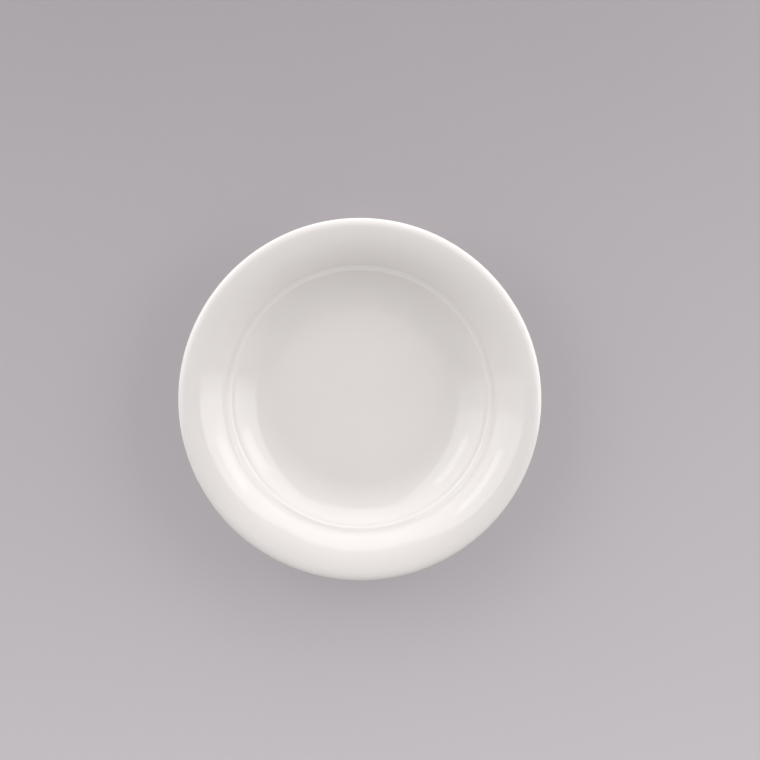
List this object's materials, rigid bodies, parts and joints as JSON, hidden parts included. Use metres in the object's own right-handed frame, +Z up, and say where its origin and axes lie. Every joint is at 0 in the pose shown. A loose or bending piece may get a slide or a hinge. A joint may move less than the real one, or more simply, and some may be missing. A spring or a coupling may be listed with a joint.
{
  "type": "deep plate",
  "caption": "Round deep plate of white glazed porcelain with an S-shaped wall, a fine stepped line round the well, a rounded lip and a foot ring.",
  "frame": {"origin": "centre of the foot ring's bearing plane", "axes": "+Z up along the plate's axis, out of the well"},
  "size_m": [0.23, 0.23, 0.0385],
  "materials": {
    "porcelain": "bare fired porcelain, fine matte grain",
    "glaze": "smooth warm white gloss glaze"
  },
  "bodies": {
    "root": {"porcelain_body": "porcelain", "outer_glaze": "glaze", "underside_glaze": "glaze"}
  },
  "joints": []
}
